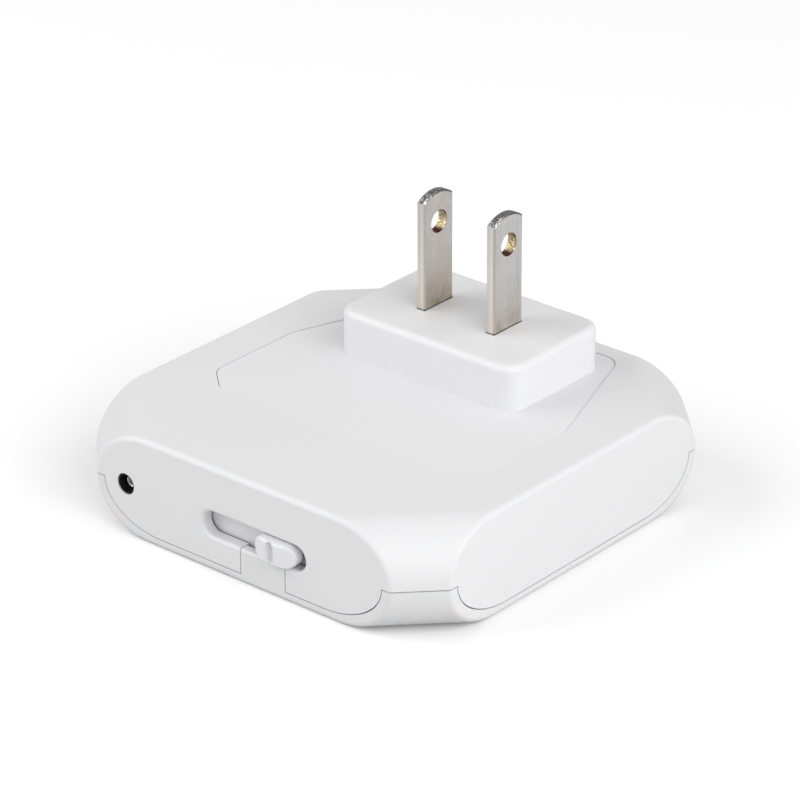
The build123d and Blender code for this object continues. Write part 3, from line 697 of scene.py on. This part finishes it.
def fillet_tree():
    """Puts a solder fillet round every point of a mesh."""
    tree = Tree("solder_fillets")
    wide = tree.input("Foot radius", "Float", 0.0008)
    narrow = tree.input("Neck radius", "Float", 0.0003)
    rise = tree.input("Rise", "Float", 0.0007)
    material = tree.input("Finish", "Material")
    profile = tree.node("GeometryNodeCurvePrimitiveCircle", {"Resolution": 14, "Radius": wide}).outputs[0]
    neck = tree.node("ShaderNodeMath", {0: narrow, 1: wide}, operation="DIVIDE").outputs[0]
    spine = tree.node("GeometryNodeCurvePrimitiveLine", {
        "End": tree.node("ShaderNodeCombineXYZ", {
            "Z": tree.node("ShaderNodeMath", {0: rise, 1: -1.0}, operation="MULTIPLY").outputs[0],
        }).outputs[0],
    }).outputs[0]
    fine = tree.node("GeometryNodeResampleCurve", {"Curve": spine, "Count": 5}).outputs[0]
    # The side is hollow: it thins quickly near the foot and slowly near the neck.
    factor = tree.node("GeometryNodeSplineParameter").outputs["Factor"]
    bend = tree.node("ShaderNodeMath", {0: factor, 1: 0.45}, operation="POWER").outputs[0]
    thin = tree.node("ShaderNodeMapRange", {
        "Value": bend, "To Min": 1.0, "To Max": neck,
    }).outputs["Result"]
    cone = tree.node("GeometryNodeCurveToMesh", {
        "Curve": fine, "Profile Curve": profile, "Scale": thin, "Fill Caps": True,
    })
    copies = tree.node("GeometryNodeInstanceOnPoints", {
        "Points": tree.start.outputs["Geometry"], "Instance": cone.outputs[0],
    })
    return tree.close(copies.outputs[0], material)


# ---------------------------------------------------------------- operators


class NIGHTLIGHT_OT_shells(bpy.types.Operator):
    """Finish the rear housing, the plug base and the front cover"""

    bl_idname = "nightlight.shells"
    bl_label = "Shells"

    def execute(self, context):
        settings = context.scene.night_shell
        lighter = tinted(settings.colour, 1.02)
        dress("plug_base", moulded_plastic("white_plastic", lighter, settings))
        case = moulded_plastic("case_plastic", settings.colour, settings)
        # Painted shade along the inner edge of the slider's slot.
        slot_gap_shade(case.node_tree, case.node_tree.nodes["Principled BSDF"], settings)
        dress("rear_housing", case)
        milky = moulded_plastic("milky_plastic", settings.cover_colour, settings, (0.36, 0.43),
                                Subsurface_Weight=0.12, Subsurface_Scale=0.5 * MM)
        dress("front_diffuser", milky)
        return {"FINISHED"}


class NIGHTLIGHT_OT_slider(bpy.types.Operator):
    """Finish the dimmer's knob with its shutter"""

    bl_idname = "nightlight.slider"
    bl_label = "Slider"

    def execute(self, context):
        settings = context.scene.night_shell
        lighter = tinted(settings.colour, 1.02)
        dress("slider_knob", moulded_plastic("slider_plastic", lighter, settings, (0.30, 0.38)))
        return {"FINISHED"}


class NIGHTLIGHT_OT_blades(bpy.types.Operator):
    """Finish the two plug blades and the plate that holds them"""

    bl_idname = "nightlight.blades"
    bl_label = "Plug blades"

    def execute(self, context):
        settings = context.scene.night_blades
        # How each blade has aged, and the painted shade and reflection on its broad faces: tone of the
        # darker clouds, least and most cover of the tarnish and its colour, share and tone of the sheen on
        # the broad faces, and strength of the streaks. The clouds are mottle and painted shade. The sheen
        # is painted reflection, lighter on the right blade;
        # the left blade is painted darker, as it mirrors its neighbour and the block.
        films = (
            {"name": "left", "dark": 0.90, "low": 0.35, "high": 1.0, "tarnish": (0.40, 0.335, 0.225),
             "broad": 0.10, "broad_sheen": (0.80, 0.70, 0.66), "streak": 0.12},
            {"name": "right", "dark": 0.95, "low": 0.25, "high": 0.8, "tarnish": (0.40, 0.335, 0.25),
             "broad": 0.55, "broad_sheen": (0.80, 0.80, 0.815), "streak": 0.22},
        )
        for film in films:
            film["face"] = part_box("blade_" + film["name"])[1].x
            dress("blade_" + film["name"], blade_metal(settings, film))
        dress("blade_retainer", plain_finish("insulator", (0.70, 0.69, 0.64), 0.5, 0.6 * MM, 0.01 * MM))
        return {"FINISHED"}


class NIGHTLIGHT_OT_sensor(bpy.types.Operator):
    """Finish the light sensor, its sleeve and the frame inside its clear body"""

    bl_idname = "nightlight.sensor"
    bl_label = "Light sensor"

    def execute(self, context):
        settings = context.scene.night_sensor
        rubber = plain_finish("black_rubber", settings.sleeve, 0.6, 0.3 * MM, 0.01 * MM,
                              Specular_IOR_Level=0.25)
        dress("sensor_sleeve", rubber)
        dress("light_sensor", clear_epoxy())
        self.add_frame()
        return {"FINISHED"}

    def add_frame(self):
        """The sensor's cup on its post and the chip in it, cast into the clear body."""
        metal = plain_finish("lead_frame", (0.93, 0.93, 0.92), 0.22, 0.3 * MM, 0.004 * MM, Metallic=1.0)
        silicon = plain_finish("sensor_chip", (0.05, 0.06, 0.09), 0.15, 0.1 * MM, 0.002 * MM)
        # Radius, and depth behind the body's front, in millimetres.
        cup = (
            (0, 0.85), (0.30, 0.85), (0.66, 0.47), (1.14, 0.47), (1.18, 0.56),
            (0.6, 1.3), (0.22, 1.6), (0.22, 3.4), (0, 3.4),
        )
        chip = ((0, 0.70), (0.24, 0.70), (0.24, 0.845), (0, 0.845))
        shade(self.turned("sensor_cup", cup, 28, metal, "tinned_wire"))
        self.turned("sensor_chip", chip, 4, silicon, "black_epoxy")

    def turned(self, name, profile, steps, material, slot):
        """A piece turned about the sensor's axis."""
        centre = (SENSOR_LOW + SENSOR_HIGH) / 2
        front = Vector((centre.x, SENSOR_LOW.y, centre.z))
        scaled = [(radius * MM, depth * MM) for radius, depth in profile]
        piece = blank_from(name, lambda builder: lathe(builder, scaled, steps, front, (0, 1, 0)))
        settle(piece, material)
        return piece


class NIGHTLIGHT_OT_screws(bpy.types.Operator):
    """Make the threaded screws on their grids"""

    bl_idname = "nightlight.screws"
    bl_label = "Screws"

    def execute(self, context):
        settings = context.scene.night_screws
        steel = plain_finish("screw_steel", (0.60, 0.60, 0.61), 0.3, 0.3 * MM, 0.006 * MM, Metallic=1.0)
        group = screw_tree()
        grids = (("retainer_screws", 1, 2), ("plug_base_screws", 2, 2), ("board_screws", 2, 2))
        for node, count_x, count_y in grids:
            self.add_screws(node, count_x, count_y, group, steel, settings)
        return {"FINISHED"}

    def add_screws(self, node, count_x, count_y, group, steel, settings):
        """Threaded screws in the places and sizes of a CAD node, heads down."""
        low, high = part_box(node)
        head, shank, seat = self.measure(node)
        core = shank - settings.depth
        top, tip = low.z - seat, high.z - seat
        # Radius and height over the seat: a dimpled round head, the core and its blunt point.
        blank = (
            (0, top + head * 0.3), (head * 0.68, top), (head * 0.93, top * 0.55), (head, top * 0.2),
            (head, 0), (shank * 0.98, 0), (core, 0.2 * MM), (core, tip - core),
            (core * 0.3, tip - core * 0.1), (0, tip),
        )
        piece = blank_from("threaded_" + node, lambda builder: lathe(builder, blank, 28, (0, 0, 0)))
        run_tree(piece, group, {
            "Across": high.x - low.x - 2 * head, "Along": high.y - low.y - 2 * head,
            "Count across": count_x, "Count along": count_y,
            "Centre": ((low.x + high.x) / 2, (low.y + high.y) / 2, seat),
            "Core radius": core, "Thread depth": settings.depth, "Thread pitch": settings.pitch,
            "Thread length": tip - core - 2 * settings.pitch, "Finish": steel,
        })
        shade(piece, 40)
        settle(piece, steel, (node,))

    def measure(self, node):
        """Head radius, shank radius and height of the seat under the head, from the CAD node.

        One screw is picked out by the middle of the node's box. Where the grid is one screw wide,
        that is half a screw, and its two radii come out as half of the CAD ones.
        """
        low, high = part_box(node)
        middle_x, middle_y = (low.x + high.x) / 2 + SAME, (low.y + high.y) / 2
        points = [v.co for v in frame["nodes"][node].data.vertices]
        one_screw = [p for p in points if p.x <= middle_x and p.y <= middle_y]
        outermost = min(p.x for p in one_screw)
        seat = max(p.z for p in one_screw if p.x < outermost + 10 * SAME)
        above = [p.x for p in one_screw if p.z > seat + 1 * MM]
        head = (max(p.x for p in one_screw) - outermost) / 2
        shank = (max(above) - min(above)) / 2
        return head, shank, seat


class NIGHTLIGHT_OT_board(bpy.types.Operator):
    """Finish the circuit board and solder its joints"""

    bl_idname = "nightlight.board"
    bl_label = "Circuit board"

    def execute(self, context):
        dress("main_board", board_laminate())
        bright = plain_finish("solder", (0.78, 0.78, 0.77), 0.2, 0.5 * MM, 0.01 * MM, Metallic=1.0)
        dress("blade_solder", bright)
        feet = self.feet(("component_leads", "dimmer_terminals", "sensor_legs"))
        piece = blank_from("solder_fillets", lambda builder: [builder.verts.new(foot) for foot in feet])
        run_tree(piece, fillet_tree(), {
            "Foot radius": 0.85 * MM, "Neck radius": 0.3 * MM, "Rise": 0.65 * MM, "Finish": bright,
        })
        shade(piece, 50)
        settle(piece, bright)
        return {"FINISHED"}

    def feet(self, nodes):
        """The middle of each lead's foot, at the board's front side."""
        ends = []
        for node in nodes:
            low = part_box(node)[0].z
            ends += [Vector((v.co.x, v.co.y, BOARD_LOW.z))
                     for v in frame["nodes"][node].data.vertices if v.co.z < low + SAME]
        lead_space = 1 * MM
        first_points = []
        for spot in ends:
            if all((spot - other).length > lead_space for other in first_points):
                first_points.append(spot)
        leads = [[p for p in ends if (p - first).length < lead_space] for first in first_points]
        return [self.middle(lead) for lead in leads]

    def middle(self, points):
        """Middle of the box round some points of one height."""
        xs, ys = [p.x for p in points], [p.y for p in points]
        return ((min(xs) + max(xs)) / 2, (min(ys) + max(ys)) / 2, points[0].z)


class NIGHTLIGHT_OT_lamps(bpy.types.Operator):
    """Finish the light emitting diodes and cast their domed phosphor"""

    bl_idname = "nightlight.lamps"
    bl_label = "Lamps"

    def execute(self, context):
        settings = context.scene.night_lamps
        dress("leds", plain_finish("led_housing", (0.88, 0.88, 0.86), 0.45, 0.3 * MM, 0.004 * MM))
        phosphor = plain_finish("led_phosphor", (0.86, 0.66, 0.12), 0.22, 0.15 * MM, 0.006 * MM,
                                Subsurface_Weight=0.3, Subsurface_Scale=0.3 * MM)
        low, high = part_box("led_windows")
        depth, radius = high.z - low.z, settings.window
        dome = ((0, depth), (radius, depth), (radius, 0.25 * depth), (radius * 0.8, 0.08 * depth), (0, 0))
        piece = blank_from("phosphor_domes", lambda builder: lathe(builder, dome, 24, (0, 0, 0)))
        run_tree(piece, ring_tree(), {
            "Count": settings.count, "Ring radius": (high.x - low.x) / 2 - radius, "Height": low.z,
            "Finish": phosphor,
        })
        shade(piece, 40)
        settle(piece, phosphor, ("led_windows",))
        return {"FINISHED"}


class NIGHTLIGHT_OT_components(bpy.types.Operator):
    """Finish the components on the board"""

    bl_idname = "nightlight.components"
    bl_label = "Components"

    def execute(self, context):
        dress("film_capacitor", plain_finish("film_box", (0.72, 0.50, 0.05), 0.3, 1.2 * MM, 0.01 * MM))
        can = plain_finish("can_sleeve", (0.03, 0.035, 0.05), 0.25, 0.8 * MM, 0.01 * MM)
        dress("smoothing_capacitor", can)
        for node in ("bridge_rectifier", "driver_chip", "switch_transistor", "chip_resistors"):
            dress(node, plain_finish(node + "_epoxy", (0.028, 0.028, 0.03), 0.5, 0.2 * MM, 0.008 * MM))
        tinned = plain_finish("tinned_wire", (0.74, 0.74, 0.72), 0.24, 0.4 * MM, 0.005 * MM, Metallic=1.0)
        for node in ("component_leads", "package_legs", "sensor_legs", "dimmer_terminals"):
            dress(node, tinned)
        brown, gold = (0.30, 0.12, 0.04), (0.72, 0.56, 0.10)
        self.band("fusible_resistor", (0.34, 0.50, 0.42), "Y", (brown, BAND_BLACK, gold))
        red, yellow = (0.60, 0.05, 0.03), (0.75, 0.70, 0.06)
        self.band("bleed_resistor", (0.10, 0.30, 0.48), "X", (red, BAND_BLACK, yellow))
        return {"FINISHED"}

    def band(self, node, colour, axis, bands):
        """A resistor's lacquer, with its bands square to an axis."""
        ends = tuple(corner["XYZ".index(axis)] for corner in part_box(node))
        dress(node, banded_coat(node + "_coat", colour, axis, ends, bands))


class NIGHTLIGHT_OT_dimmer(bpy.types.Operator):
    """Finish the slide potentiometer"""

    bl_idname = "nightlight.dimmer"
    bl_label = "Dimmer"

    def execute(self, context):
        tin = plain_finish("tin_sheet", (0.70, 0.70, 0.69), 0.3, 0.5 * MM, 0.006 * MM, Metallic=1.0)
        dress("dimmer_shell", tin)
        laminate = plain_finish("paper_laminate", (0.34, 0.19, 0.08), 0.55, 0.6 * MM, 0.01 * MM)
        dress("dimmer_base", laminate)
        nylon = plain_finish("black_nylon", (0.02, 0.02, 0.022), 0.4, 0.3 * MM, 0.006 * MM)
        dress("dimmer_carriage", nylon)
        return {"FINISHED"}


class NIGHTLIGHT_OT_stage(bpy.types.Operator):
    """Make the floor, the soft studio light and the camera"""

    bl_idname = "nightlight.stage"
    bl_label = "Stage"

    def execute(self, context):
        settings = context.scene.night_stage
        self.add_floor(settings)
        self.add_surround(settings)
        # Name, azimuth in degrees from the front towards the right, and power.
        for name, azimuth, power in (
            ("key_light", 74, settings.key),
            ("fill_light", -50, settings.fill),
            ("rear_light_right", 120, settings.rear_right),
            ("rear_light_left", -135, settings.rear_left),
        ):
            self.add_light(name, math.radians(azimuth), power, settings)
        self.add_camera(settings)
        context.scene.view_settings.view_transform = "Standard"
        return {"FINISHED"}

    def add_floor(self, settings):
        """A square floor round the middle."""
        reach = settings.floor_reach
        corners = ((-reach, -reach, 0), (reach, -reach, 0), (reach, reach, 0), (-reach, reach, 0))
        floor = blank_from(
            "floor", lambda builder: builder.faces.new([builder.verts.new(corner) for corner in corners]))
        give(floor, self.paper(settings))

    def paper(self, settings):
        """White paper that throws back less light than it shows, as a studio floor lit from behind."""
        material, tree, shader = new_material("floor_paper", settings.floor, 0.9)
        seen = add(tree, "ShaderNodeLightPath").outputs["Is Camera Ray"]
        tree.links.new(mix(tree, seen, settings.bounce, settings.floor), shader.inputs["Base Color"])
        return material

    def add_surround(self, settings):
        """An even white light from all sides."""
        world = bpy.data.worlds.new("surround")
        world.use_nodes = True
        sky = world.node_tree.nodes["Background"]
        sky.inputs["Color"].default_value = (1, 1, 1, 1)
        sky.inputs["Strength"].default_value = settings.surround
        bpy.context.scene.world = world

    def outwards(self, azimuth, elevation):
        """The direction at an azimuth from the front towards the right and a height angle."""
        flat = math.cos(elevation)
        return Vector((math.sin(azimuth) * flat, -math.cos(azimuth) * flat, math.sin(elevation)))

    def add_light(self, name, azimuth, power, settings):
        """A round soft light, turned towards the middle of the night light."""
        light = bpy.data.lights.new(name, "AREA")
        light.shape = "DISK"
        light.size = settings.light_size
        light.energy = power
        lamp = bpy.data.objects.new(name, light)
        lamp.location = settings.light_reach * self.outwards(azimuth, settings.light_height)
        lamp.rotation_mode = "QUATERNION"
        middle = Vector((0, 0, 10 * MM))
        lamp.rotation_quaternion = (lamp.location - middle).to_track_quat("Z", "Y")
        bpy.context.scene.collection.objects.link(lamp)

    def add_camera(self, settings):
        """A camera at its place, turned by its azimuth, elevation and roll."""
        back = self.outwards(settings.azimuth, settings.elevation)
        right = (-back).cross(Vector((0, 0, 1))).normalized()
        up = back.cross(right)
        cosine, sine = math.cos(settings.roll), math.sin(settings.roll)
        axes = Matrix((right * cosine + up * sine, up * cosine - right * sine, back)).transposed()
        lens = bpy.data.cameras.new("camera")
        lens.lens = settings.lens
        lens.clip_start, lens.clip_end = 0.01, 20
        camera = bpy.data.objects.new("camera", lens)
        camera.matrix_world = Matrix.Translation(settings.place) @ axes.to_4x4()
        bpy.context.scene.collection.objects.link(camera)
        bpy.context.scene.camera = camera


OPERATORS = (
    NIGHTLIGHT_OT_shells,
    NIGHTLIGHT_OT_slider,
    NIGHTLIGHT_OT_blades,
    NIGHTLIGHT_OT_sensor,
    NIGHTLIGHT_OT_screws,
    NIGHTLIGHT_OT_board,
    NIGHTLIGHT_OT_lamps,
    NIGHTLIGHT_OT_components,
    NIGHTLIGHT_OT_dimmer,
    NIGHTLIGHT_OT_stage,
)
SETTINGS = (
    ("night_shell", ShellSettings),
    ("night_blades", BladeSettings),
    ("night_sensor", SensorSettings),
    ("night_lamps", LampSettings),
    ("night_screws", ScrewSettings),
    ("night_stage", StageSettings),
)


class NIGHTLIGHT_PT_sidebar(bpy.types.Panel):
    """Lists the settings and the pieces of the night light"""

    bl_idname = "NIGHTLIGHT_PT_sidebar"
    bl_label = "Night light"
    bl_space_type = "VIEW_3D"
    bl_region_type = "UI"
    bl_category = "Night light"

    def draw(self, context):
        for operator in OPERATORS:
            self.layout.operator(operator.bl_idname)
        for name, group in SETTINGS:
            box = self.layout.box()
            for prop in group.__annotations__:
                box.prop(getattr(context.scene, name), prop)


def register():
    for name, group in SETTINGS:
        bpy.utils.register_class(group)
        setattr(bpy.types.Scene, name, PointerProperty(type=group))
    for operator in OPERATORS:
        bpy.utils.register_class(operator)
    bpy.utils.register_class(NIGHTLIGHT_PT_sidebar)


def unregister():
    bpy.utils.unregister_class(NIGHTLIGHT_PT_sidebar)
    for operator in reversed(OPERATORS):
        bpy.utils.unregister_class(operator)
    for name, group in reversed(SETTINGS):
        delattr(bpy.types.Scene, name)
        bpy.utils.unregister_class(group)


def main():
    register()
    for operator in OPERATORS:
        group, name = operator.bl_idname.split(".")
        getattr(getattr(bpy.ops, group), name)()


if __name__ == "__main__":
    main()
